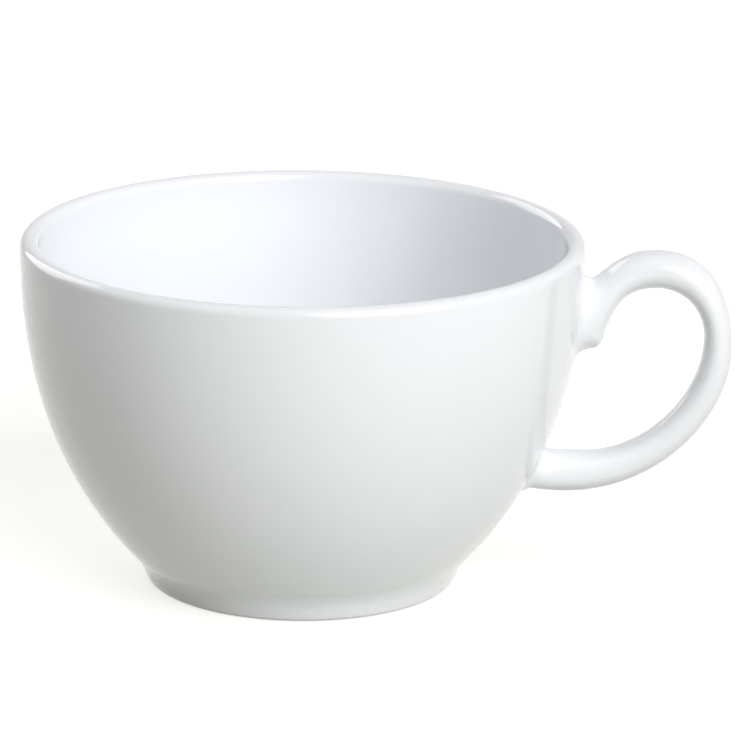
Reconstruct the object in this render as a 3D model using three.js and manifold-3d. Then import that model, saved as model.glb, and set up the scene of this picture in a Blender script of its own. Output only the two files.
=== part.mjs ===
// A breakfast cup of glazed white porcelain: a deep round bowl on a low foot ring, with a loop handle.
// The bowl, the foot ring and the handle are formed apart and luted together with slip before firing,
// so each of them, and each slip joint between them, is a mesh of its own.
// Millimetres, +Z up. The cup stands on z = 0, its handle points along +X, and the origin is the middle
// of the overall footprint, bowl and handle together.

import * as THREE from "three";
import { mergeVertices } from "three/addons/utils/BufferGeometryUtils.js";
import Module from "manifold-3d";

// Bowl
const CUP_HEIGHT = 69; // table to the top of the lip
const RIM_RADIUS = 55; // outside of the wall at the lip, where it stands upright
const LIP_THICKNESS = 3.6; // wall at the lip, which is rounded to half of this
const BASE_WALL_THICKNESS = 4.4; // wall where it runs into the floor
const FLOOR_THICKNESS = 4.4; // middle of the floor
const SEAT_RADIUS = 31.3; // outside of the bowl where it meets the foot joint
const BASE_FLARE_DEG = 45; // slope of the wall above the foot, from the horizontal
const BASE_FULLNESS = 31.6; // how long the wall holds that slope
const UPPER_FULLNESS = 14; // how long the wall stays upright below the lip
const FLOOR_BLEND_RISE = 6; // height above the floor at which the inside wall starts to round into it

// Foot ring and the recess inside it
const FOOT_HEIGHT = 3; // table to the joint
const FOOT_STEP = 0.1; // the foot's outside at the joint, in from the bowl's seat
const FOOT_TAPER = 1; // the outside leans in by this much towards the table
const FOOT_WIDTH = 4.6; // radial width at the joint
const FOOT_INSIDE_SLOPE = 0.6; // the inside opens by this much towards the table
const FOOT_EDGE_ROUND = 0.7; // rounding of both bottom edges
const RECESS_RISE = 1; // underside of the floor above the foot joint
const FOOT_SLIP_THICKNESS = 0.6;
const FOOT_SLIP_HOLLOW = 0.2; // how deep the sponged seam is drawn in

// Handle loop, in the plane y = 0
const HANDLE_STANDOFF = 28.75; // outermost point, beyond the rim's radius
const HANDLE_TOP_DROP = 1; // top of the loop, below the lip
const SHOULDER_REACH = 14.7; // from the top of the loop out to its outermost point
const SHOULDER_DROP = 19.2; // from the top of the loop down to its outermost point
const SHOULDER_FULLNESS = 0.6; // roundness of the shoulder, where 0.55 would be elliptical
const SWEEP_FULLNESS = 0.51; // roundness of the long sweep below the shoulder
const GRIP_THICKNESS_TOP = 7.3;
const GRIP_THICKNESS_SIDE = 5.5;
const GRIP_INNER_LIFT = 2.2; // how much higher the opening's outermost point lies than the loop's
const GRIP_WIDTH = 9; // across the loop

// Handle ends
const UPPER_ROOT_DROP = 6.7; // top of the upper terminal, below the lip
const UPPER_ROOT_HEIGHT = 14.3;
const UPPER_ROOT_DEPTH = 5.2; // how far the terminal stands off the wall
const UPPER_ROOT_WIDTH = 10;
const HEEL_ROUND = 2.7; // rounding of the terminal's lower corner
const TERMINAL_LEAN_DEG = 14; // lean of the terminal's outer face
const TERMINAL_RUN = 6.6; // how long the opening's edge holds that lean
const NECK_SETBACK = 3.3; // where the loop's back comes down on the terminal, in from its outer face
const NECK_SLOPE_DEG = 42; // slope at which it comes down there
const NECK_RUN = 7.4; // how long the loop's back holds that slope
const CROWN_RUN_OUTER = 5.5; // how far the loop's back runs level from its top
const CROWN_RUN_INNER = 6.4; // how far the opening's edge runs level from its top
const LOWER_ROOT_RISE = 23.2; // middle of the lower end, above the table
const LOWER_ROOT_HEIGHT = 7.6;
const LOWER_ROOT_WIDTH = 9.4;
const LOWER_ROOT_RUN = 7.5; // straight stretch from the wall

// Slip joints at the handle's ends
const SLIP_THICKNESS = 0.6; // layer between the wall and the handle's end
const SLIP_COLLAR_HEIGHT = 1.6; // how far the collar climbs the handle
const SLIP_COLLAR_SPREAD = 0.9; // how far the collar spreads over the wall
const SLIP_COLLAR_EDGE = 0.35; // blunt upper edge of the collar
const JOINT_GAP = 0.3; // clearance between curved neighbours

// Faceting
const ROUND_SEGMENTS = 72; // round the bowl and the foot
const WALL_STEPS = 14;
const LIP_STEPS = 8;
const FLOOR_STEPS = 6;
const EDGE_STEPS = 3;
const GRIP_SIDES = 20;
const CURVE_STEPS = 9; // along each curve of the handle
const COLLAR_STEPS = 4;
const CIRCLE_FULLNESS = 0.5523; // a quarter circle, as a cubic curve
const BISECTION_STEPS = 40;

// Derived places
const SEAT_Z = FOOT_HEIGHT + FOOT_SLIP_THICKNESS;
const UNDERSIDE_Z = SEAT_Z + RECESS_RISE;
const FLOOR_Z = UNDERSIDE_Z + FLOOR_THICKNESS;
const LIP_Z = CUP_HEIGHT - LIP_THICKNESS / 2;
const FOOT_TOP_RADIUS = SEAT_RADIUS - FOOT_STEP;
const FOOT_BASE_RADIUS = FOOT_TOP_RADIUS - FOOT_TAPER;
const FOOT_INNER_RADIUS = FOOT_TOP_RADIUS - FOOT_WIDTH;
const HANDLE_REACH = RIM_RADIUS + HANDLE_STANDOFF;
const ROOT_EMBED = LIP_THICKNESS / 2; // how far the handle's ends run into the wall before they are cut

const wasm = await Module();
wasm.setup();

const point = (radius, height) => new THREE.Vector2(radius, height);

// Solids and geometry

function solidOf(geometry) {
  const bare = geometry.clone();
  bare.deleteAttribute("normal");
  bare.deleteAttribute("uv");
  const merged = mergeVertices(bare, 1e-4);
  const corners = merged.index.array;
  const kept = [];
  for (let i = 0; i < corners.length; i += 3) {
    const [a, b, c] = [corners[i], corners[i + 1], corners[i + 2]];
    if (a !== b && b !== c && c !== a) kept.push(a, b, c);
  }
  const mesh = new wasm.Mesh({
    numProp: 3,
    vertProperties: merged.attributes.position.array,
    triVerts: new Uint32Array(kept),
  });
  return new wasm.Manifold(mesh);
}

function geometryOf(solid) {
  const mesh = solid.getMesh();
  const geometry = new THREE.BufferGeometry();
  geometry.setAttribute("position", new THREE.BufferAttribute(mesh.vertProperties, 3));
  geometry.setIndex(new THREE.BufferAttribute(mesh.triVerts, 1));
  geometry.computeVertexNormals();
  return geometry;
}

// Turns a profile of (radius, height) points, listed with the material on their left, about the Z axis.
function turned(profile) {
  return new THREE.LatheGeometry(profile, ROUND_SEGMENTS).rotateX(Math.PI / 2);
}

// Bowl wall

const flare = THREE.MathUtils.degToRad(BASE_FLARE_DEG);
const wall = new THREE.CubicBezierCurve(
  point(SEAT_RADIUS, SEAT_Z),
  point(SEAT_RADIUS + BASE_FULLNESS * Math.cos(flare), SEAT_Z + BASE_FULLNESS * Math.sin(flare)),
  point(RIM_RADIUS, LIP_Z - UPPER_FULLNESS),
  point(RIM_RADIUS, LIP_Z),
);

// A point of the outside wall, moved outwards by a distance.
function wallPoint(t, outwards) {
  const along = wall.getTangent(t);
  return wall.getPoint(t).add(point(along.y, -along.x).multiplyScalar(outwards));
}

// The wall curve's parameter at a height.
function wallParameter(height) {
  let low = 0;
  let high = 1;
  for (let i = 0; i < BISECTION_STEPS; i++) {
    const middle = (low + high) / 2;
    if (wall.getPoint(middle).y < height) low = middle;
    else high = middle;
  }
  return (low + high) / 2;
}

const wallRadius = (height) => wall.getPoint(wallParameter(height)).x;

// Evenly spaced values from first to last, both included.
function spaced(first, last, steps) {
  return Array.from({ length: steps + 1 }, (_, i) => first + ((last - first) * i) / steps);
}

function bowlProfile() {
  const outside = spaced(0, 1, WALL_STEPS).map((t) => wallPoint(t, 0));
  const lip = spaced(0, Math.PI, LIP_STEPS)
    .slice(1, -1)
    .map((angle) => {
      const half = LIP_THICKNESS / 2;
      return point(RIM_RADIUS - half + half * Math.cos(angle), LIP_Z + half * Math.sin(angle));
    });
  const blend = wallParameter(FLOOR_Z + FLOOR_BLEND_RISE - BASE_WALL_THICKNESS / 2);
  const thickness = (t) =>
    THREE.MathUtils.mapLinear(t, blend, 1, BASE_WALL_THICKNESS, LIP_THICKNESS);
  const inside = spaced(1, blend, WALL_STEPS).map((t) => wallPoint(t, -thickness(t)));
  const corner = inside[inside.length - 1];
  const down = wall.getTangent(blend);
  const drop = (corner.y - FLOOR_Z) / down.y;
  const floor = new THREE.QuadraticBezierCurve(
    corner,
    point(corner.x - down.x * drop, FLOOR_Z),
    point(0, FLOOR_Z),
  );
  return [
    point(0, UNDERSIDE_Z),
    point(FOOT_INNER_RADIUS - RECESS_RISE, UNDERSIDE_Z),
    point(FOOT_INNER_RADIUS, SEAT_Z),
    ...outside,
    ...lip,
    ...inside,
    ...floor.getPoints(FLOOR_STEPS).slice(1),
  ];
}

// The body of revolution inside the outside wall moved outwards, for cutting what meets the wall.
function wallBody(outwards) {
  const outside = spaced(0, 1, WALL_STEPS).map((t) => wallPoint(t, outwards));
  return solidOf(turned([point(0, outside[0].y), ...outside, point(0, LIP_Z)]));
}

// Foot

function roundedCorner(centre, from, to) {
  return spaced(from, to, EDGE_STEPS).map((angle) =>
    point(centre.x + FOOT_EDGE_ROUND * Math.cos(angle), centre.y + FOOT_EDGE_ROUND * Math.sin(angle)),
  );
}

function footRingProfile() {
  const insideBase = FOOT_INNER_RADIUS + FOOT_INSIDE_SLOPE;
  const outerCentre = point(FOOT_BASE_RADIUS - FOOT_EDGE_ROUND, FOOT_EDGE_ROUND);
  const innerCentre = point(insideBase + FOOT_EDGE_ROUND, FOOT_EDGE_ROUND);
  const profile = [
    ...roundedCorner(innerCentre, -Math.PI, -Math.PI / 2),
    ...roundedCorner(outerCentre, -Math.PI / 2, 0),
    point(FOOT_TOP_RADIUS, FOOT_HEIGHT),
    point(FOOT_INNER_RADIUS, FOOT_HEIGHT),
  ];
  return [...profile, profile[0].clone()];
}

function footSlipProfile() {
  const waist = (FOOT_TOP_RADIUS + SEAT_RADIUS) / 2 - FOOT_SLIP_HOLLOW;
  const profile = [
    point(FOOT_INNER_RADIUS, FOOT_HEIGHT),
    point(FOOT_TOP_RADIUS, FOOT_HEIGHT),
    point(waist, FOOT_HEIGHT + FOOT_SLIP_THICKNESS / 2),
    point(SEAT_RADIUS, SEAT_Z),
    point(FOOT_INNER_RADIUS, SEAT_Z),
  ];
  return [...profile, profile[0].clone()];
}

// Handle, lofted through oval sections that each span from an inner rail to an outer rail

const middleOf = ({ outer, inner }) => outer.clone().add(inner).multiplyScalar(0.5);

// A closed loft. Each section is { outer, inner, width }, with the rail points as (x, z).
function loft(listed) {
  const travel = middleOf(listed[1]).sub(middleOf(listed[0]));
  const facesOut = listed[0].outer.clone().sub(listed[0].inner).cross(travel) > 0;
  const sections = facesOut ? listed : listed.toReversed();
  const vertices = [];
  const triangles = [];
  for (const { outer, inner, width } of sections) {
    const middle = middleOf({ outer, inner });
    const half = outer.clone().sub(middle);
    for (let side = 0; side < GRIP_SIDES; side++) {
      const angle = (2 * Math.PI * side) / GRIP_SIDES;
      const inPlane = half.clone().multiplyScalar(Math.cos(angle)).add(middle);
      vertices.push(inPlane.x, (width / 2) * Math.sin(angle), inPlane.y);
    }
  }
  const ring = (section, side) => section * GRIP_SIDES + (side % GRIP_SIDES);
  for (let section = 0; section + 1 < sections.length; section++) {
    for (let side = 0; side < GRIP_SIDES; side++) {
      const [a, b] = [ring(section, side), ring(section, side + 1)];
      const [c, d] = [ring(section + 1, side + 1), ring(section + 1, side)];
      triangles.push(a, b, c, a, c, d);
    }
  }
  const last = sections.length - 1;
  for (let side = 1; side + 1 < GRIP_SIDES; side++) {
    triangles.push(ring(0, 0), ring(0, side + 1), ring(0, side));
    triangles.push(ring(last, 0), ring(last, side), ring(last, side + 1));
  }
  const geometry = new THREE.BufferGeometry();
  geometry.setAttribute("position", new THREE.Float32BufferAttribute(vertices, 3));
  geometry.setIndex(triangles);
  return solidOf(geometry);
}

// A section made larger all round by a margin.
function widened({ outer, inner, width }, margin) {
  const across = outer.clone().sub(inner).setLength(margin);
  return { outer: outer.clone().add(across), inner: inner.clone().sub(across), width: width + 2 * margin };
}

// The two ends of the handle, each as a section at a distance from the wall.
const upperTop = CUP_HEIGHT - UPPER_ROOT_DROP;
const upperBottom = upperTop - UPPER_ROOT_HEIGHT;
const lowerTop = LOWER_ROOT_RISE + LOWER_ROOT_HEIGHT / 2;
const lowerBottom = LOWER_ROOT_RISE - LOWER_ROOT_HEIGHT / 2;

const upperRoot = (offWall) => ({
  outer: point(wallRadius(upperTop) + offWall, upperTop),
  inner: point(wallRadius(upperBottom) + offWall, upperBottom),
  width: UPPER_ROOT_WIDTH,
});

const lowerRoot = (offWall) => ({
  outer: point(wallRadius(lowerBottom) + offWall, lowerBottom),
  inner: point(wallRadius(lowerTop) + offWall, lowerTop),
  width: LOWER_ROOT_WIDTH,
});

// A quarter turn from one point to another, leaving along one axis and arriving along the other.
function quarter(from, to, leavesAlongX, fullness) {
  const step = to.clone().sub(from).multiplyScalar(fullness);
  const leave = leavesAlongX ? point(step.x, 0) : point(0, step.y);
  const arrive = leavesAlongX ? point(0, step.y) : point(step.x, 0);
  return new THREE.CubicBezierCurve(from, from.clone().add(leave), to.clone().sub(arrive), to);
}

// A curve that runs level from one point and comes down on another at a slope.
function comingDown(from, levelRun, to, slopeDeg, slopeRun) {
  const slope = THREE.MathUtils.degToRad(slopeDeg);
  const before = point(to.x + slopeRun * Math.cos(slope), to.y + slopeRun * Math.sin(slope));
  return new THREE.CubicBezierCurve(from, point(from.x - levelRun, from.y), before, to);
}

// The rails of the loop from the lower end to the upper terminal, in matching stretches.
function handleStretches() {
  const low = lowerRoot(LOWER_ROOT_RUN);
  const top = point(HANDLE_REACH - SHOULDER_REACH, CUP_HEIGHT - HANDLE_TOP_DROP);
  const side = point(HANDLE_REACH, top.y - SHOULDER_DROP);
  const innerTop = point(top.x, top.y - GRIP_THICKNESS_TOP);
  const innerSide = point(side.x - GRIP_THICKNESS_SIDE, side.y + GRIP_INNER_LIFT);
  const face = upperRoot(UPPER_ROOT_DEPTH);
  const neck = point(face.outer.x - NECK_SETBACK, upperTop);
  const heel = point(face.inner.x, upperBottom + HEEL_ROUND);
  const end = upperRoot(0);
  const sole = point(end.inner.x + SLIP_COLLAR_HEIGHT, upperBottom);
  return [
    {
      outer: quarter(low.outer, side, true, SWEEP_FULLNESS),
      inner: quarter(low.inner, innerSide, true, SWEEP_FULLNESS),
      widths: [LOWER_ROOT_WIDTH, GRIP_WIDTH],
    },
    {
      outer: quarter(side, top, false, SHOULDER_FULLNESS),
      inner: quarter(innerSide, innerTop, false, SHOULDER_FULLNESS),
      widths: [GRIP_WIDTH, GRIP_WIDTH],
    },
    {
      outer: comingDown(top, CROWN_RUN_OUTER, neck, NECK_SLOPE_DEG, NECK_RUN),
      inner: comingDown(innerTop, CROWN_RUN_INNER, heel, 90 - TERMINAL_LEAN_DEG, TERMINAL_RUN),
      widths: [GRIP_WIDTH, UPPER_ROOT_WIDTH],
    },
    {
      outer: new THREE.LineCurve(neck, end.outer),
      inner: quarter(heel, sole, false, CIRCLE_FULLNESS),
      widths: [UPPER_ROOT_WIDTH, UPPER_ROOT_WIDTH],
    },
  ];
}

// The whole handle with its ends run into the wall, larger all round by a margin.
function handleLoft(margin) {
  const sections = [lowerRoot(-ROOT_EMBED)];
  handleStretches().forEach(({ outer, inner, widths }) => {
    for (const t of spaced(0, 1, CURVE_STEPS).slice(0, -1)) {
      sections.push({
        outer: outer.getPoint(t),
        inner: inner.getPoint(t),
        width: THREE.MathUtils.lerp(widths[0], widths[1], t),
      });
    }
  });
  sections.push(upperRoot(0), upperRoot(-ROOT_EMBED));
  return loft(sections.map((section) => widened(section, margin)));
}

// A slip joint: a layer on the wall under the handle's end, with a collar that climbs the handle.
function slipJoint(rootAt) {
  const rises = [-ROOT_EMBED, ...spaced(0, SLIP_COLLAR_HEIGHT, COLLAR_STEPS)];
  const sections = rises.map((rise) => {
    const left = 1 - Math.max(rise, 0) / SLIP_COLLAR_HEIGHT;
    return widened(rootAt(rise), JOINT_GAP + SLIP_COLLAR_EDGE + SLIP_COLLAR_SPREAD * left ** 2);
  });
  const room = handleLoft(JOINT_GAP).subtract(wallBody(JOINT_GAP + SLIP_THICKNESS));
  return loft(sections).subtract(room).subtract(wallBody(JOINT_GAP));
}

const handle = handleLoft(0).subtract(wallBody(2 * JOINT_GAP + SLIP_THICKNESS));

// Assembly

const GLAZED_WHITE = { color: 0xf1f3f4, roughness: 0.12, metalness: 0 };

const cup = new THREE.Group();
cup.position.x = (RIM_RADIUS - HANDLE_REACH) / 2;

function piece(name, geometry) {
  const mesh = new THREE.Mesh(geometry, new THREE.MeshStandardMaterial(GLAZED_WHITE));
  mesh.name = name;
  cup.add(mesh);
}

piece("bowl", turned(bowlProfile()));
piece("foot_ring", turned(footRingProfile()));
piece("foot_slip_joint", turned(footSlipProfile()));
piece("handle", geometryOf(handle));
piece("upper_slip_joint", geometryOf(slipJoint(upperRoot)));
piece("lower_slip_joint", geometryOf(slipJoint(lowerRoot)));

const breakfastCup = new THREE.Group();
breakfastCup.add(cup);

export default breakfastCup;
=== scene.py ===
"""A breakfast cup of glazed white porcelain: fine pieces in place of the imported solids, in a studio.

Sizes are in millimetres, measured from the cup's axis and from the table, and become metres in the meshes.
"""

import math

import bmesh
import bpy
from mathutils import Matrix, Vector


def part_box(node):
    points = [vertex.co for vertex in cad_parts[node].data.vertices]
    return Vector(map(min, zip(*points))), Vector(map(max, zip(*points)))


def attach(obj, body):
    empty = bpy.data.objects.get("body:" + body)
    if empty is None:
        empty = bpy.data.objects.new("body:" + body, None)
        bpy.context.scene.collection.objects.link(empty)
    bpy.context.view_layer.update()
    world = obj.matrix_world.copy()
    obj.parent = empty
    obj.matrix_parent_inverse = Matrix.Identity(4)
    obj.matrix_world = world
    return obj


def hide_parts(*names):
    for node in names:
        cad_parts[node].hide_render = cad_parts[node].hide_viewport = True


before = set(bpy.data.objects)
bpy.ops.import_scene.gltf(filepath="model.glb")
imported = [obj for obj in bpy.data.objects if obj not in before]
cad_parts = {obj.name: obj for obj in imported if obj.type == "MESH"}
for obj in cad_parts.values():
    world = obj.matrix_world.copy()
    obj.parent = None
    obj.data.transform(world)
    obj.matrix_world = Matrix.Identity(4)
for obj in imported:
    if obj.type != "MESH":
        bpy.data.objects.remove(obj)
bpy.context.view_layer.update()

MM = 0.001
BODY = "root"


def box_mm(node):
    """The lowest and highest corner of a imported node, in millimetres."""
    low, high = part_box(node)
    return low / MM, high / MM


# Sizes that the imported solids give
bowl_low, bowl_high = box_mm("bowl")
slip_low, slip_high = box_mm("foot_slip_joint")
ring_low, ring_high = box_mm("foot_ring")
handle_low, handle_high = box_mm("handle")
AXIS_X = (bowl_low.x + bowl_high.x) / 2
RIM_RADIUS = (bowl_high.y - bowl_low.y) / 2
CUP_HEIGHT = bowl_high.z
SEAT_Z = bowl_low.z
SEAT_RADIUS = (slip_high.y - slip_low.y) / 2
FOOT_HEIGHT = ring_high.z
FOOT_TOP_RADIUS = (ring_high.y - ring_low.y) / 2
HANDLE_REACH = handle_high.x - AXIS_X
HANDLE_TOP = handle_high.z
UPPER_ROOT_WIDTH = handle_high.y - handle_low.y

# Bowl
LIP_THICKNESS = 3.6
BASE_WALL_THICKNESS = 4.4
FLOOR_THICKNESS = 4.4
BASE_FLARE_DEG = 45  # the wall's slope where it leaves the foot
BASE_FULLNESS = 31.6  # how far the wall's curve is drawn along that slope
UPPER_FULLNESS = 14  # how far below the lip it is drawn upright
FLOOR_BLEND_RISE = 6  # about where, above the floor, the inside wall starts to turn into it
RECESS_RISE = 1  # from the bowl's seat up to its underside
LIP_Z = CUP_HEIGHT - LIP_THICKNESS / 2
UNDERSIDE_Z = SEAT_Z + RECESS_RISE
FLOOR_Z = UNDERSIDE_Z + FLOOR_THICKNESS

# Foot ring
FOOT_TAPER = 0.45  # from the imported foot's widest radius in to the rounded outer edge
FOOT_WIDTH = 4.6
FOOT_INSIDE_SLOPE = 0.6  # how far the ring's inner side leans outwards on its way down
FOOT_INNER_ROUND = 0.7
FOOT_OUTER_ROUND = 1.5
FOOT_INNER_RADIUS = FOOT_TOP_RADIUS - FOOT_WIDTH
WAIST_Z = 4.5  # where the line of the foot's side meets the wall
WAIST_FILLET_UP = 2.4  # along the wall, from there to the end of the seam's fillet
WAIST_FILLET_DOWN = 2.0  # down the foot's side
SEAM_DEPTH = 1.6  # how deep the seam's fillet is bedded in

# Handle loop, in the plane y = 0
SHOULDER_REACH = 14.7  # from the top of the loop out to its side
SHOULDER_DROP = 19.2  # and down to it
SHOULDER_OUTER = 0.625  # fullness of the shoulder, along the outer and the inner rail
SHOULDER_INNER = 0.57
SWEEP_OUTER = (0.575, 0.475)  # fullness of the long sweep at its lower end and where it comes up
SWEEP_INNER = (0.51, 0.51)
GRIP_THICKNESS_TOP = 7.3
GRIP_THICKNESS_SIDE = 5.5
GRIP_INNER_LIFT = 2.2  # the inner rail is upright this far above the place where the outer one is
GRIP_WIDTH = 9
GRIP_SQUARENESS = 2.0  # of its section; 2 makes an ellipse

# Handle ends; a run is the length over which a rail is drawn straight on
UPPER_ROOT_DROP = 6.7  # from the lip's top to the terminal's top
UPPER_ROOT_HEIGHT = 14.75
UPPER_ROOT_DEPTH = 5.2  # how far the terminal stands out from the wall
HEEL_ROUND = 2.7
SOLE_RISE = 0.5  # from the terminal's lowest point, at the wall, to the heel
TERMINAL_LEAN_DEG = 14
TERMINAL_RUN = 6.6
NECK_SETBACK = 3.3
NECK_SLOPE_DEG = 42
NECK_RUN = 7.4
NECK_FLAT = 1  # how far the outer rail runs level while the inner rail turns round the heel
NECK_ROUND = 0.35  # reach of the neck's rounding, along the loop at the outer rail
NECK_SIDE_ROUND = 3.2  # and at the sides
CROWN_RUN_OUTER = 4.4
CROWN_RUN_INNER = 6.4
LOWER_ROOT_RISE = 23.12
LOWER_ROOT_HEIGHT = 7.76
LOWER_ROOT_WIDTH = 9.4
LOWER_ROOT_SQUARENESS = 2.35
LOWER_ROOT_RUN = 7.5
LOWER_ROOT_LIFT = 0.95  # how far the outer rail rises over that run, up to its end in the wall
ROOT_EMBED = 2.5  # how far the loft runs on into the wall before it is cut

# Fillets of slip at the handle's ends: at the outer edge, the inner edge and the two sides of the loop
UPPER_FILLET = {"outer": 0.35, "inner": 2.4, "sides": 2.8}
LOWER_FILLET = {"outer": 1.2, "inner": 0.8, "sides": 3.6}
FILLET_FEATHER = 0.6  # how far the fillet runs on along the wall as it sinks into it
FEATHER_DEPTH = 0.02
FILLET_BED = 0.15  # how deep the fillet's edge lies in the wall
FILLET_ROUND = 0.5523  # makes a cubic curve follow a quarter circle

# Fineness of the meshes
ROUND_SEGMENTS = 240
WALL_STEPS = 90
LIP_STEPS = 24
FLOOR_STEPS = 40
EDGE_STEPS = 8
GRIP_SIDES = 96
LOFT_STEP = 0.1
HANDLE_RINGS = 240
FILLET_STEPS = 32
BISECTION_STEPS = 40
SHARP_DEG = 40
ON_AXIS = 1e-6  # a point of a profile that is nearer to the axis than this becomes a pole


def bezier(controls, t):
    """A point of the curve with these control points."""
    points = [Vector(c) for c in controls]
    while len(points) > 1:
        points = [a.lerp(b, t) for a, b in zip(points, points[1:])]
    return points[0]


def slope(controls, t):
    """The unit direction of the curve with these control points."""
    steps = [Vector(b) - Vector(a) for a, b in zip(controls, controls[1:])]
    return bezier(steps, t).normalized()


def spaced(first, last, steps):
    """Evenly spaced values from first to last, both included."""
    return [first + (last - first) * i / steps for i in range(steps + 1)]


def eased(t):
    """A smooth step from 0 to 1."""
    return (3 - 2 * t) * t * t


def polyline_length(points):
    """The length of the line through these points."""
    return sum((Vector(b) - Vector(a)).length for a, b in zip(points, points[1:]))


def arc(centre, radius, first_deg, last_deg, steps):
    """Points of an arc in the profile plane."""
    angles = [math.radians(a) for a in spaced(first_deg, last_deg, steps)]
    return [Vector((centre[0] + radius * math.cos(a), centre[1] + radius * math.sin(a))) for a in angles]


# Wall of the bowl

flare = math.radians(BASE_FLARE_DEG)
WALL = [
    (SEAT_RADIUS, SEAT_Z),
    (SEAT_RADIUS + BASE_FULLNESS * math.cos(flare), SEAT_Z + BASE_FULLNESS * math.sin(flare)),
    (RIM_RADIUS, LIP_Z - UPPER_FULLNESS),
    (RIM_RADIUS, LIP_Z),
]


def wall_parameter(height):
    """The wall curve's parameter at a height."""
    low, high = 0.0, 1.0
    for _ in range(BISECTION_STEPS):
        middle = (low + high) / 2
        if bezier(WALL, middle).y < height:
            low = middle
        else:
            high = middle
    return (low + high) / 2


def wall_radius(height):
    """The radius of the outside wall at a height."""
    return bezier(WALL, wall_parameter(height)).x


def wall_inwards(t, depth):
    """A point of the outside wall, moved into the wall by a depth."""
    along = slope(WALL, t)
    return bezier(WALL, t) + Vector((-along.y, along.x)) * depth


def wall_normal(place):
    """The wall's outward direction beside a point in space."""
    along = slope(WALL, wall_parameter(place.z))
    outwards = Vector((place.x, place.y, 0)).normalized()
    return (outwards * along.y - Vector((0, 0, along.x))).normalized()


def onto_wall(place):
    """The point of the wall at the same height and bearing."""
    bearing = math.atan2(place.y, place.x)
    radius = wall_radius(place.z)
    return Vector((radius * math.cos(bearing), radius * math.sin(bearing), place.z))


# Meshes

def new_piece(name, shape):
    """Makes an object of a filled bmesh in millimetres, with its faces out and its real corners sharp."""
    bmesh.ops.recalc_face_normals(shape, faces=shape.faces)
    for vertex in shape.verts:
        vertex.co = (vertex.co + Vector((AXIS_X, 0, 0))) * MM
    mesh = bpy.data.meshes.new(name)
    shape.to_mesh(mesh)
    shape.free()
    mesh.polygons.foreach_set("use_smooth", [True] * len(mesh.polygons))
    mesh.set_sharp_from_angle(angle=math.radians(SHARP_DEG))
    piece = bpy.data.objects.new(name, mesh)
    bpy.context.scene.collection.objects.link(piece)
    return piece


def skin(shape, rings, closed):
    """Joins rings of vertices by quads, and the last to the first if closed. A lone vertex is a pole."""
    pairs = list(zip(rings, rings[1:]))
    if closed:
        pairs.append((rings[-1], rings[0]))
    for lower, upper in pairs:
        count = max(len(lower), len(upper))
        for i in range(count):
            j = (i + 1) % count
            below = [lower[i % len(lower)], lower[j % len(lower)]]
            above = [upper[j % len(upper)], upper[i % len(upper)]]
            shape.faces.new(list(dict.fromkeys(below + above)))


def turned(name, profile, closed):
    """A body of revolution. An open profile starts and ends on the axis."""
    shape = bmesh.new()
    rings = []
    for radius, height in profile:
        if radius < ON_AXIS:
            rings.append([shape.verts.new((0, 0, height))])
            continue
        ring = []
        for segment in range(ROUND_SEGMENTS):
            angle = 2 * math.pi * segment / ROUND_SEGMENTS
            ring.append(shape.verts.new((radius * math.cos(angle), radius * math.sin(angle), height)))
        rings.append(ring)
    skin(shape, rings, closed)
    return new_piece(name, shape)


# Bowl and foot

SEAM_CORNER = bezier(WALL, wall_parameter(WAIST_Z))
SEAM_TOP = bezier(WALL, wall_parameter(WAIST_Z + WAIST_FILLET_UP * math.sin(flare)))
# The foot's outer edge is rounded about this centre, and its side runs on from there to the seam
FOOT_EDGE = Vector((FOOT_TOP_RADIUS - FOOT_TAPER - FOOT_OUTER_ROUND, FOOT_OUTER_ROUND))
edge_to_seam = SEAM_CORNER - FOOT_EDGE
centre_rise = math.atan2(edge_to_seam.y, edge_to_seam.x)
FOOT_SIDE_RISE = centre_rise + math.asin(FOOT_OUTER_ROUND / edge_to_seam.length)
FOOT_SIDE = Vector((math.cos(FOOT_SIDE_RISE), math.sin(FOOT_SIDE_RISE)))
SEAM_BOTTOM = SEAM_CORNER - FOOT_SIDE * WAIST_FILLET_DOWN
SEAM_BACK = Vector((SEAM_CORNER.x - SEAM_DEPTH, SEAT_Z))
RING_BACK = Vector((SEAM_CORNER.x - SEAM_DEPTH, FOOT_HEIGHT))


def make_bowl():
    """The bowl from the middle of its underside round the lip to the middle of its floor."""
    recess = arc((FOOT_INNER_RADIUS - RECESS_RISE, SEAT_Z), RECESS_RISE, 90, 0, EDGE_STEPS)
    start = wall_parameter(SEAM_TOP.y)
    outside = [bezier(WALL, t) for t in spaced(start, 1, WALL_STEPS)]
    lip = arc((RIM_RADIUS - LIP_THICKNESS / 2, LIP_Z), LIP_THICKNESS / 2, 0, 180, LIP_STEPS)[1:-1]
    blend = wall_parameter(FLOOR_Z + FLOOR_BLEND_RISE - BASE_WALL_THICKNESS / 2)
    inside = []
    for t in spaced(1, blend, WALL_STEPS):
        share = (1 - t) / (1 - blend)
        inside.append(wall_inwards(t, LIP_THICKNESS + (BASE_WALL_THICKNESS - LIP_THICKNESS) * share))
    corner = inside[-1]
    down = slope(WALL, blend)
    heel = Vector((corner.x - down.x * (corner.y - FLOOR_Z) / down.y, FLOOR_Z))
    floor = [bezier([corner, heel, (0, FLOOR_Z)], t) for t in spaced(0, 1, FLOOR_STEPS)][1:]
    profile = [(0, UNDERSIDE_Z), *recess, SEAM_BACK, *outside, *lip, *inside, *floor]
    return turned("glazed_bowl", profile, closed=False)


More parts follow.
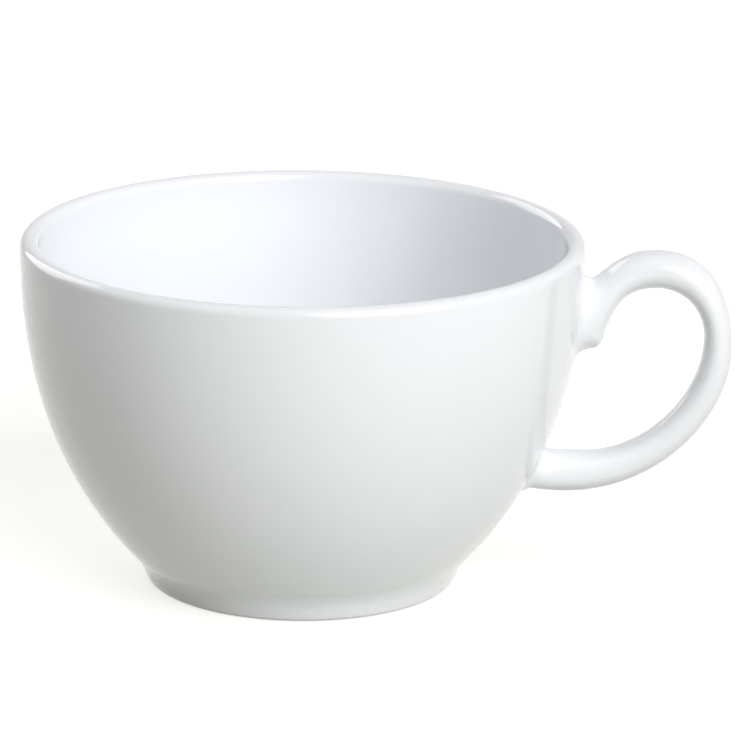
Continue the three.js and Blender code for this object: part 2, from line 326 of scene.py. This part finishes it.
def make_foot_slip_joint():
    """The layer of slip between the bowl and the foot ring, with a fillet as the waist."""
    seam = [bezier([SEAM_BOTTOM, SEAM_CORNER, SEAM_TOP], t) for t in spaced(0, 1, FILLET_STEPS)]
    profile = [(FOOT_INNER_RADIUS, FOOT_HEIGHT), RING_BACK, *seam, SEAM_BACK, (FOOT_INNER_RADIUS, SEAT_Z)]
    return turned("glazed_foot_seam", profile, closed=True)


def make_foot_ring():
    """The foot ring, with both lower edges rounded."""
    inner_centre = (FOOT_INNER_RADIUS + FOOT_INSIDE_SLOPE + FOOT_INNER_ROUND, FOOT_INNER_ROUND)
    inner_edge = arc(inner_centre, FOOT_INNER_ROUND, 180, 270, EDGE_STEPS)
    outer_edge = arc(FOOT_EDGE, FOOT_OUTER_ROUND, 270, 270 + math.degrees(FOOT_SIDE_RISE), EDGE_STEPS)
    profile = [*inner_edge, *outer_edge, SEAM_BOTTOM, RING_BACK, (FOOT_INNER_RADIUS, FOOT_HEIGHT)]
    return turned("glazed_foot", profile, closed=True)


# Handle, lofted through oval sections that each span from an inner rail to an outer rail

UPPER_TOP = CUP_HEIGHT - UPPER_ROOT_DROP
UPPER_BOTTOM = UPPER_TOP - UPPER_ROOT_HEIGHT
LOWER_TOP = LOWER_ROOT_RISE + LOWER_ROOT_HEIGHT / 2
LOWER_BOTTOM = LOWER_ROOT_RISE - LOWER_ROOT_HEIGHT / 2
NECK_STRETCH = 4  # the stretch of the loop that starts at the neck's corner
# The section's squareness where each stretch of the loop starts, and at the loop's end
SQUARENESS = [LOWER_ROOT_SQUARENESS] * 2 + [GRIP_SQUARENESS] * 5


def level_first(start, end, leave, arrive):
    """A quarter turn that leaves level and arrives upright, with a fullness for each of its halves."""
    after_start = (start[0] + (end[0] - start[0]) * leave, start[1])
    before_end = (end[0], end[1] - (end[1] - start[1]) * arrive)
    return [start, after_start, before_end, end]


def upright_first(start, end, fullness):
    """A quarter turn that leaves upright and arrives level."""
    after_start = (start[0], start[1] + (end[1] - start[1]) * fullness)
    before_end = (end[0] - (end[0] - start[0]) * fullness, end[1])
    return [start, after_start, before_end, end]


def coming_down(start, level_run, end, slope_deg, slope_run):
    """A curve that runs level from one point and comes down on another at a slope."""
    angle = math.radians(slope_deg)
    before = Vector(end) + Vector((math.cos(angle), math.sin(angle))) * slope_run
    return [start, (start[0] - level_run, start[1]), before, end]


def handle_stretches():
    """The loop from its lower end to the terminal: outer and inner rails, and the widths at their ends."""
    low_outer = (wall_radius(LOWER_BOTTOM), LOWER_BOTTOM)
    low_inner = (wall_radius(LOWER_TOP), LOWER_TOP)
    run_outer = (low_outer[0] + LOWER_ROOT_RUN, LOWER_BOTTOM)
    run_inner = (low_inner[0] + LOWER_ROOT_RUN, LOWER_TOP)
    top = (HANDLE_REACH - SHOULDER_REACH, HANDLE_TOP)
    side = (HANDLE_REACH, HANDLE_TOP - SHOULDER_DROP)
    inner_top = (top[0], HANDLE_TOP - GRIP_THICKNESS_TOP)
    inner_side = (HANDLE_REACH - GRIP_THICKNESS_SIDE, side[1] + GRIP_INNER_LIFT)
    up_outer = (wall_radius(UPPER_TOP), UPPER_TOP)
    up_inner = (wall_radius(UPPER_BOTTOM), UPPER_BOTTOM)
    neck = (up_outer[0] + UPPER_ROOT_DEPTH - NECK_SETBACK, UPPER_TOP)
    neck_end = (neck[0] - NECK_FLAT, UPPER_TOP)
    into_wall = Vector((-ROOT_EMBED, 0))
    lifted_end = Vector(low_outer) + into_wall + Vector((0, LOWER_ROOT_LIFT))
    before_run = ((lifted_end.x + run_outer[0]) / 2, LOWER_BOTTOM)
    heel = (up_inner[0] + UPPER_ROOT_DEPTH, UPPER_BOTTOM + HEEL_ROUND)
    sole = Vector((heel[0] - HEEL_ROUND, UPPER_BOTTOM + SOLE_RISE))
    sole_end = Vector(up_inner) + into_wall
    lean = Vector((math.sin(math.radians(TERMINAL_LEAN_DEG)), math.cos(math.radians(TERMINAL_LEAN_DEG))))
    before_sole = sole + (sole - sole_end).normalized() * HEEL_ROUND / 2
    heel_turn = [heel, Vector(heel) - lean * HEEL_ROUND * FILLET_ROUND, before_sole, sole]
    return [
        ([lifted_end, before_run, run_outer], [Vector(low_inner) + into_wall, run_inner],
         LOWER_ROOT_WIDTH, LOWER_ROOT_WIDTH),
        (level_first(run_outer, side, *SWEEP_OUTER), level_first(run_inner, inner_side, *SWEEP_INNER),
         LOWER_ROOT_WIDTH, GRIP_WIDTH),
        (upright_first(side, top, SHOULDER_OUTER), upright_first(inner_side, inner_top, SHOULDER_INNER),
         GRIP_WIDTH, GRIP_WIDTH),
        (coming_down(top, CROWN_RUN_OUTER, neck, NECK_SLOPE_DEG, NECK_RUN),
         coming_down(inner_top, CROWN_RUN_INNER, heel, 90 - TERMINAL_LEAN_DEG, TERMINAL_RUN),
         GRIP_WIDTH, UPPER_ROOT_WIDTH),
        ([neck, neck_end], heel_turn, UPPER_ROOT_WIDTH, UPPER_ROOT_WIDTH),
        ([neck_end, Vector(up_outer) + into_wall], [sole, sole_end],
         UPPER_ROOT_WIDTH, UPPER_ROOT_WIDTH),
    ]


def squared(value, squareness):
    """A sine or cosine for a section that can be squarer than an ellipse."""
    return math.copysign(abs(value) ** (2 / squareness), value)


def along_line(line, index):
    """The point of a line at a fractional index."""
    whole = min(int(index), len(line) - 2)
    return line[whole].lerp(line[whole + 1], index - whole)


def walk(line, index, step, distance):
    """Follows a line from a fractional index in a direction for a distance, and gives the new index."""
    place = along_line(line, index)
    left = distance
    ahead = math.floor(index) + 1 if step > 0 else math.ceil(index) - 1
    while True:
        leg = (line[ahead] - place).length
        if leg >= left:
            return index + (ahead - index) * left / leg
        left -= leg
        place = line[ahead]
        index = ahead
        ahead += step


def round_corner(line, index, reach):
    """Rounds a line's corner, from one reach before it to one reach after it."""
    first = math.ceil(walk(line, index, -1, reach))
    last = math.floor(walk(line, index, 1, reach))
    controls = [line[first].copy(), line[index].copy(), line[last].copy()]
    for i in range(first, last + 1):
        line[i] = bezier(controls, (i - first) / (last - first))


def handle_lines():
    """Lines along the loop, one for each place round its section, as points in space."""
    angles = [2 * math.pi * side / GRIP_SIDES for side in range(GRIP_SIDES)]
    lines = [[] for _ in angles]
    starts = []
    for stretch, (outer, inner, first_width, last_width) in enumerate(handle_stretches()):
        starts.append(len(lines[0]))
        length = max(polyline_length(outer), polyline_length(inner))
        for t in spaced(0, 1, math.ceil(length / LOFT_STEP))[:-1]:
            outer_point = bezier(outer, t)
            inner_point = bezier(inner, t)
            middle = (outer_point + inner_point) / 2
            half = (outer_point - inner_point) / 2
            ease = eased(t)
            width = first_width + (last_width - first_width) * ease
            squareness = SQUARENESS[stretch] + (SQUARENESS[stretch + 1] - SQUARENESS[stretch]) * ease
            for angle, line in zip(angles, lines):
                place = middle + half * squared(math.cos(angle), squareness)
                line.append(Vector((place.x, width / 2 * squared(math.sin(angle), squareness), place.y)))
    for angle, line in zip(angles, lines):
        reach = NECK_ROUND + (NECK_SIDE_ROUND - NECK_ROUND) * math.sin(angle) ** 2
        round_corner(line, starts[NECK_STRETCH], reach)
    return lines


def out_of_wall(place):
    """How far a point in space lies outside the wall, and less than 0 inside it."""
    return math.hypot(place.x, place.y) - wall_radius(place.z)


def leaves_wall(line, indices):
    """The fractional index at which a line, followed in this order, comes out of the wall."""
    for last, i in zip(indices, indices[1:]):
        height = out_of_wall(line[i])
        if height > 0:
            before = out_of_wall(line[last])
            return last + (i - last) * before / (before - height)
    raise ValueError("a line of the handle never leaves the wall")


def fillet_size(sizes, angle):
    """The fillet's size at an angle round the section, which is 0 at the outer rail."""
    edge = sizes["outer"] if math.cos(angle) > 0 else sizes["inner"]
    return edge + (sizes["sides"] - edge) * math.sin(angle) ** 2


def root_fillet(lines, sizes, step):
    """Where the fillet starts on each line, as an index, and its curve from there to the wall."""
    count = len(lines[0])
    indices = list(range(count)) if step > 0 else list(range(count - 1, -1, -1))
    leaving = [leaves_wall(line, indices) for line in lines]
    feet = [along_line(line, index) for line, index in zip(lines, leaving)]
    middle = sum(feet, Vector()) / len(feet)
    starts = []
    curves = []
    for side, (line, index, foot) in enumerate(zip(lines, leaving, feet)):
        size = fillet_size(sizes, 2 * math.pi * side / GRIP_SIDES)
        start = walk(line, index, step, size)
        place = along_line(line, start)
        round_root = feet[(side + 1) % GRIP_SIDES] - feet[side - 1]
        away = wall_normal(foot).cross(round_root).normalized()
        if away.dot(foot - middle) < 0:
            away.negate()
        end = onto_wall(foot + away * size)
        normal = wall_normal(end)
        back = (foot - end) - normal * normal.dot(foot - end)
        towards = (foot - place).normalized()
        controls = [
            place,
            place + towards * (foot - place).length * FILLET_ROUND,
            end + back.normalized() * (foot - end).length * FILLET_ROUND,
            end,
        ]
        feather = onto_wall(end - back.normalized() * FILLET_FEATHER)
        feather -= wall_normal(feather) * FEATHER_DEPTH
        starts.append(start)
        curves.append([*(bezier(controls, t) for t in spaced(0, 1, FILLET_STEPS)), feather])
    return starts, curves


def make_slip_joint(name, curves):
    """A layer of slip between the handle's end and the wall, with a fillet all round."""
    shape = bmesh.new()
    top = sum((curve[0] for curve in curves), Vector()) / len(curves)
    bedded = [curve[-1] - wall_normal(curve[-1]) * FILLET_BED for curve in curves]
    bottom = onto_wall(sum(bedded, Vector()) / len(bedded))
    bottom -= wall_normal(bottom) * 2 * FILLET_BED
    rings = [[shape.verts.new(top)]]
    for places in zip(*curves):
        rings.append([shape.verts.new(place) for place in places])
    rings.append([shape.verts.new(place) for place in bedded])
    rings.append([shape.verts.new(bottom)])
    skin(shape, rings, closed=False)
    return new_piece(name, shape)


def make_handle(lines, lower_starts, upper_starts):
    """The loop between the two slip joints."""
    shape = bmesh.new()
    rings = []
    for share in spaced(0, 1, HANDLE_RINGS):
        ring = []
        for line, first, last in zip(lines, lower_starts, upper_starts):
            ring.append(along_line(line, first + (last - first) * share))
        rings.append(ring)
    ends = [sum(ring, Vector()) / len(ring) for ring in (rings[0], rings[-1])]
    made = [[shape.verts.new(ends[0])]]
    made += [[shape.verts.new(place) for place in ring] for ring in rings]
    made.append([shape.verts.new(ends[1])])
    skin(shape, made, closed=False)
    return new_piece("glazed_handle", shape)


# Glaze

GLAZE_COLOUR = (0.876, 0.891, 0.919)
POOLED_GLAZE_AND_SHADE_COLOUR = (0.80, 0.835, 0.86)  # glaze lying thick in the seams, and painted shade in corners and near the floor
BARE_COLOUR = (0.80, 0.785, 0.75)  # the fired body, where the foot is wiped clean of glaze
SPECK_COLOUR = (0.42, 0.38, 0.33)
CLOUD_PITCH = 30  # slow changes of tone
CLOUD_DARKEST = 0.985
CLOUD_PALEST = 1.01
GLAZE_IOR = 1.5
GLAZE_ROUGHNESS = 0.05
GLAZE_ROUGHNESS_SPREAD = 0.03
GLOSS_PITCH = 12  # changes of gloss
GLOSS_NOISE = (0.3, 0.7)  # the noise at which the glaze is smoothest and roughest
BARE_ROUGHNESS = 0.6
BARE_HEIGHT = 0.35  # the foot is bare up to here
BARE_FULL_SHARE = 0.6  # of that height, up to which no glaze is left at all
WIPE_PITCH = 1.5  # waves in the wiped edge
WIPE_HEIGHT = 0.25
GLAZE_POOL_AND_SHADE_REACH = 1.2  # how near the other side of a corner, or the floor, has to be for glaze to pool there and for shade to be painted in
GLAZE_POOL_AND_SHADE_SHARE = 0.25  # how strong the pooled glaze and painted shade are at most
GLAZE_POOL_AND_SHADE_OPENNESS = (0.45, 0.95)  # how open a corner is where the pooled glaze and painted shade are full and where they are gone
GLAZE_POOL_AND_SHADE_SAMPLES = 8
PEEL_PITCH = 5  # waves of the glaze's surface
PEEL_HEIGHT = 0.004
GRAIN_PITCH = 0.25  # grain of the bare body
GRAIN_HEIGHT = 0.02
SPECK_PITCH = 22
SPECK_SIZE = 0.16
SPECK_SHARE = 0.25  # of the cells that have a speck
# A Mix node's two inputs and its output, which have the same names for every kind of data
MIX_SOCKETS = {"FLOAT": (2, 3, 0), "RGBA": (6, 7, 2)}


class Shading:
    """Adds nodes to a material's tree and links them."""

    def __init__(self, material):
        material.use_nodes = True
        self.tree = material.node_tree
        self.shader = self.tree.nodes["Principled BSDF"]

    def add(self, kind, inputs=None, **settings):
        """A node with these settings. An input is a value or the socket that feeds it."""
        node = self.tree.nodes.new(kind)
        for name, value in settings.items():
            setattr(node, name, value)
        for name, value in (inputs or {}).items():
            self.feed(node.inputs[name], value)
        return node

    def feed(self, socket, value):
        """Links a socket to an input, or sets the input's own value."""
        if isinstance(value, bpy.types.NodeSocket):
            self.tree.links.new(value, socket)
        else:
            socket.default_value = value

    def noise(self, place, pitch, detail):
        """Soft noise from 0 to 1 with waves of about a pitch in millimetres."""
        inputs = {"Vector": place, "Scale": 1 / (pitch * MM), "Detail": detail}
        return self.add("ShaderNodeTexNoise", inputs).outputs["Fac"]

    def ramp(self, value, low, high, start, end):
        """Start below low, end above high, and a smooth step between them."""
        inputs = {"Value": value, "From Min": low, "From Max": high, "To Min": start, "To Max": end}
        return self.add("ShaderNodeMapRange", inputs, interpolation_type="SMOOTHSTEP").outputs["Result"]

    def fade(self, value, low, high):
        """1 below low, 0 above high, and a smooth step between them."""
        return self.ramp(value, low, high, 1.0, 0.0)

    def mix(self, kind, factor, first, second):
        """A blend of two values or colours: the first at a factor of 0 and the second at 1."""
        node = self.add("ShaderNodeMix", data_type=kind)
        first_input, second_input, output = MIX_SOCKETS[kind]
        self.feed(node.inputs["Factor"], factor)
        for socket, value in ((first_input, first), (second_input, second)):
            self.feed(node.inputs[socket], (*value, 1) if isinstance(value, tuple) else value)
        return node.outputs[output]

    def calculate(self, operation, first, second):
        """The result of one sum."""
        node = self.add("ShaderNodeMath", operation=operation)
        self.feed(node.inputs[0], first)
        self.feed(node.inputs[1], second)
        return node.outputs[0]


def glazed_porcelain():
    """White glaze with faint waves and rare specks, darker in the seams, in corners and near the floor as
    pooled glaze and painted shade, and wiped off under the foot.
    """
    material = bpy.data.materials.new("glazed_porcelain")
    nodes = Shading(material)
    place = nodes.add("ShaderNodeTexCoord").outputs["Object"]
    height = nodes.add("ShaderNodeSeparateXYZ", {"Vector": place}).outputs["Z"]

    # Painted shade: an occlusion mask that also counts the floor darkens the glaze in seams, corners and
    # near the floor, partly standing for pooled glaze
    reach = {"Distance": GLAZE_POOL_AND_SHADE_REACH * MM}
    corner = nodes.add("ShaderNodeAmbientOcclusion", reach, only_local=False, samples=GLAZE_POOL_AND_SHADE_SAMPLES)
    pooled_glaze_and_shade = nodes.fade(corner.outputs["AO"], *GLAZE_POOL_AND_SHADE_OPENNESS)
    cloud = nodes.noise(place, CLOUD_PITCH, detail=2)
    speck_cells = nodes.add("ShaderNodeTexVoronoi", {"Vector": place, "Scale": 1 / (SPECK_PITCH * MM)})
    speck_edge = SPECK_SIZE / SPECK_PITCH
    near_speck = nodes.fade(speck_cells.outputs["Distance"], speck_edge / 2, speck_edge)
    cell_draw = nodes.add("ShaderNodeSeparateColor", {"Color": speck_cells.outputs["Color"]}).outputs["Red"]
    has_speck = nodes.calculate("LESS_THAN", cell_draw, SPECK_SHARE)
    speck = nodes.calculate("MULTIPLY", near_speck, has_speck)

    wiped_edge = nodes.calculate("MULTIPLY", nodes.noise(place, WIPE_PITCH, detail=2), WIPE_HEIGHT * MM)
    above_edge = nodes.calculate("SUBTRACT", height, wiped_edge)
    bare = nodes.fade(above_edge, BARE_HEIGHT * MM * BARE_FULL_SHARE, BARE_HEIGHT * MM)

    darkest = tuple(c * CLOUD_DARKEST for c in GLAZE_COLOUR)
    palest = tuple(c * CLOUD_PALEST for c in GLAZE_COLOUR)
    pooled_glaze_and_shade_share = nodes.calculate("MULTIPLY", pooled_glaze_and_shade, GLAZE_POOL_AND_SHADE_SHARE)
    colour = nodes.mix("RGBA", cloud, darkest, palest)
    colour = nodes.mix("RGBA", pooled_glaze_and_shade_share, colour, POOLED_GLAZE_AND_SHADE_COLOUR)
    colour = nodes.mix("RGBA", speck, colour, SPECK_COLOUR)
    colour = nodes.mix("RGBA", bare, colour, BARE_COLOUR)
    nodes.feed(nodes.shader.inputs["Base Color"], colour)

    roughest = GLAZE_ROUGHNESS + GLAZE_ROUGHNESS_SPREAD
    gloss = nodes.ramp(nodes.noise(place, GLOSS_PITCH, detail=3), *GLOSS_NOISE, GLAZE_ROUGHNESS, roughest)
    nodes.feed(nodes.shader.inputs["Roughness"], nodes.mix("FLOAT", bare, gloss, BARE_ROUGHNESS))

    peel = nodes.noise(place, PEEL_PITCH, detail=1)
    waves = nodes.add("ShaderNodeBump", {"Height": peel, "Distance": PEEL_HEIGHT * MM})
    grain = nodes.calculate("MULTIPLY", nodes.noise(place, GRAIN_PITCH, detail=3), bare)
    bumps = {"Height": grain, "Distance": GRAIN_HEIGHT * MM, "Normal": waves.outputs["Normal"]}
    nodes.feed(nodes.shader.inputs["Normal"], nodes.add("ShaderNodeBump", bumps).outputs["Normal"])
    nodes.shader.inputs["IOR"].default_value = GLAZE_IOR
    return material


# Camera

VIEW_TURN_DEG = 5.0  # the camera's bearing round the cup, from straight beside the handle
VIEW_RISE_DEG = 16.38
VIEW_DISTANCE = 1000
VIEW_CENTRE_Z = 34
AIM_YAW_DEG = 0.85
AIM_PITCH_DEG = 16.0
AIM_ROLL_DEG = 0.64
LENS_MM = 244.6
CLIP_NEAR = 0.05  # in metres
CLIP_FAR = 20  # in metres


def make_camera():
    """The camera of the photograph: its bearing round the cup, and its aim beside the cup's middle."""
    rise = math.radians(VIEW_RISE_DEG)
    place = Vector((0, -VIEW_DISTANCE * math.cos(rise), VIEW_CENTRE_Z + VIEW_DISTANCE * math.sin(rise)))
    turn = Matrix.Rotation(math.radians(VIEW_TURN_DEG), 3, "Z")
    yaw = Matrix.Rotation(-math.radians(AIM_YAW_DEG), 3, "Z")
    pitch = Matrix.Rotation(math.radians(90 - AIM_PITCH_DEG), 3, "X")
    roll = Matrix.Rotation(math.radians(AIM_ROLL_DEG), 3, "Z")
    camera = bpy.data.objects.new("camera", bpy.data.cameras.new("camera"))
    camera.data.lens = LENS_MM
    camera.data.clip_start = CLIP_NEAR
    camera.data.clip_end = CLIP_FAR
    camera.matrix_world = (turn @ yaw @ pitch @ roll).to_4x4()
    camera.location = (turn @ place + Vector((AXIS_X, 0, 0))) * MM
    bpy.context.scene.collection.objects.link(camera)
    bpy.context.scene.camera = camera


# Studio

WHITE = (1, 1, 1, 1)
FLOOR_SIZE = 6.0  # in metres
FLOOR_COLOUR = (0.459, 0.464, 0.42, 1)
FLOOR_ROUGHNESS = 0.9
FLOOR_LIFT = 0.68  # what the floor gives off for the camera and for reflections, so that it reads as white
BACKDROP = 0.75  # what the camera and reflections see past the floor
DOME_LIGHT = 0.03
LAMP_DISTANCE = 3.0  # in metres
# Soft boxes: bearing from the camera and rise in degrees, width and height in metres, power in watts
LAMPS = {
    "key": (32, 30, 2.4, 2.7, 101),
    "low_left": (-133, 25, 2.0, 2.2, 38),
    "back_right": (132, 30, 2.4, 2.4, 5),
    "over_left": (-80, 75, 3.0, 3.0, 16),
    "behind": (168, 16, 2.4, 1.6, 36),
}
UNMIRRORED_LAMPS = {"behind"}  # the glaze shows no reflection of these


def seen_rays(tree):
    """A socket that is 1 for the camera, for reflections and for what is seen through glass."""
    path = tree.nodes.new("ShaderNodeLightPath")
    socket = path.outputs["Is Camera Ray"]
    for kind in ("Is Glossy Ray", "Is Transmission Ray"):
        larger = tree.nodes.new("ShaderNodeMath")
        larger.operation = "MAXIMUM"
        tree.links.new(socket, larger.inputs[0])
        tree.links.new(path.outputs[kind], larger.inputs[1])
        socket = larger.outputs[0]
    return socket


def make_floor():
    """A plain pale floor that keeps the cup's shadow."""
    mesh = bpy.data.meshes.new("floor")
    half = FLOOR_SIZE / 2
    corners = [(-half, -half, 0), (half, -half, 0), (half, half, 0), (-half, half, 0)]
    mesh.from_pydata(corners, [], [(0, 1, 2, 3)])
    floor = bpy.data.objects.new("floor", mesh)
    bpy.context.scene.collection.objects.link(floor)
    material = bpy.data.materials.new("floor")
    material.use_nodes = True
    tree = material.node_tree
    shader = tree.nodes["Principled BSDF"]
    shader.inputs["Base Color"].default_value = FLOOR_COLOUR
    shader.inputs["Roughness"].default_value = FLOOR_ROUGHNESS
    shader.inputs["Specular IOR Level"].default_value = 0.0
    shader.inputs["Emission Color"].default_value = WHITE
    lift = tree.nodes.new("ShaderNodeMath")
    lift.operation = "MULTIPLY"
    lift.inputs[1].default_value = FLOOR_LIFT
    tree.links.new(seen_rays(tree), lift.inputs[0])
    tree.links.new(lift.outputs[0], shader.inputs["Emission Strength"])
    mesh.materials.append(material)


def make_lamp(name, turn_deg, rise_deg, width, height, power):
    """A soft box that faces the cup, at a bearing from the camera's and a rise above the table."""
    turn = math.radians(VIEW_TURN_DEG + turn_deg)
    rise = math.radians(rise_deg)
    away = Vector((math.sin(turn) * math.cos(rise), -math.cos(turn) * math.cos(rise), math.sin(rise)))
    data = bpy.data.lights.new(name, "AREA")
    data.shape = "RECTANGLE"
    data.size = width
    data.size_y = height
    data.energy = power
    lamp = bpy.data.objects.new(name, data)
    lamp.location = Vector((AXIS_X * MM, 0, VIEW_CENTRE_Z * MM)) + away * LAMP_DISTANCE
    lamp.rotation_mode = "QUATERNION"
    lamp.rotation_quaternion = (-away).to_track_quat("-Z", "Y")
    lamp.visible_camera = False
    lamp.visible_glossy = name not in UNMIRRORED_LAMPS
    bpy.context.scene.collection.objects.link(lamp)


def make_world():
    """Pale for the camera and for reflections, and a soft even light for everything else."""
    world = bpy.data.worlds.new("studio")
    world.use_nodes = True
    nodes = world.node_tree.nodes
    links = world.node_tree.links
    seen = seen_rays(world.node_tree)
    strength = nodes.new("ShaderNodeMapRange")
    strength.inputs["To Min"].default_value = DOME_LIGHT
    strength.inputs["To Max"].default_value = BACKDROP
    links.new(seen, strength.inputs["Value"])
    background = nodes["Background"]
    background.inputs["Color"].default_value = WHITE
    links.new(strength.outputs["Result"], background.inputs["Strength"])
    bpy.context.scene.world = world


# The cup, with the node that each piece stands for

make_camera()
lines = handle_lines()
lower_starts, lower_curves = root_fillet(lines, LOWER_FILLET, 1)
upper_starts, upper_curves = root_fillet(lines, UPPER_FILLET, -1)
pieces = {
    "bowl": make_bowl(),
    "foot_slip_joint": make_foot_slip_joint(),
    "foot_ring": make_foot_ring(),
    "handle": make_handle(lines, lower_starts, upper_starts),
    "lower_slip_joint": make_slip_joint("glazed_lower_seam", lower_curves),
    "upper_slip_joint": make_slip_joint("glazed_upper_seam", upper_curves),
}
glaze = glazed_porcelain()
for node, piece in pieces.items():
    piece.data.materials.append(glaze)
    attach(piece, BODY)
    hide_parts(node)

make_floor()
make_world()
for name, settings in LAMPS.items():
    make_lamp(name, *settings)
bpy.context.scene.view_settings.view_transform = "Standard"
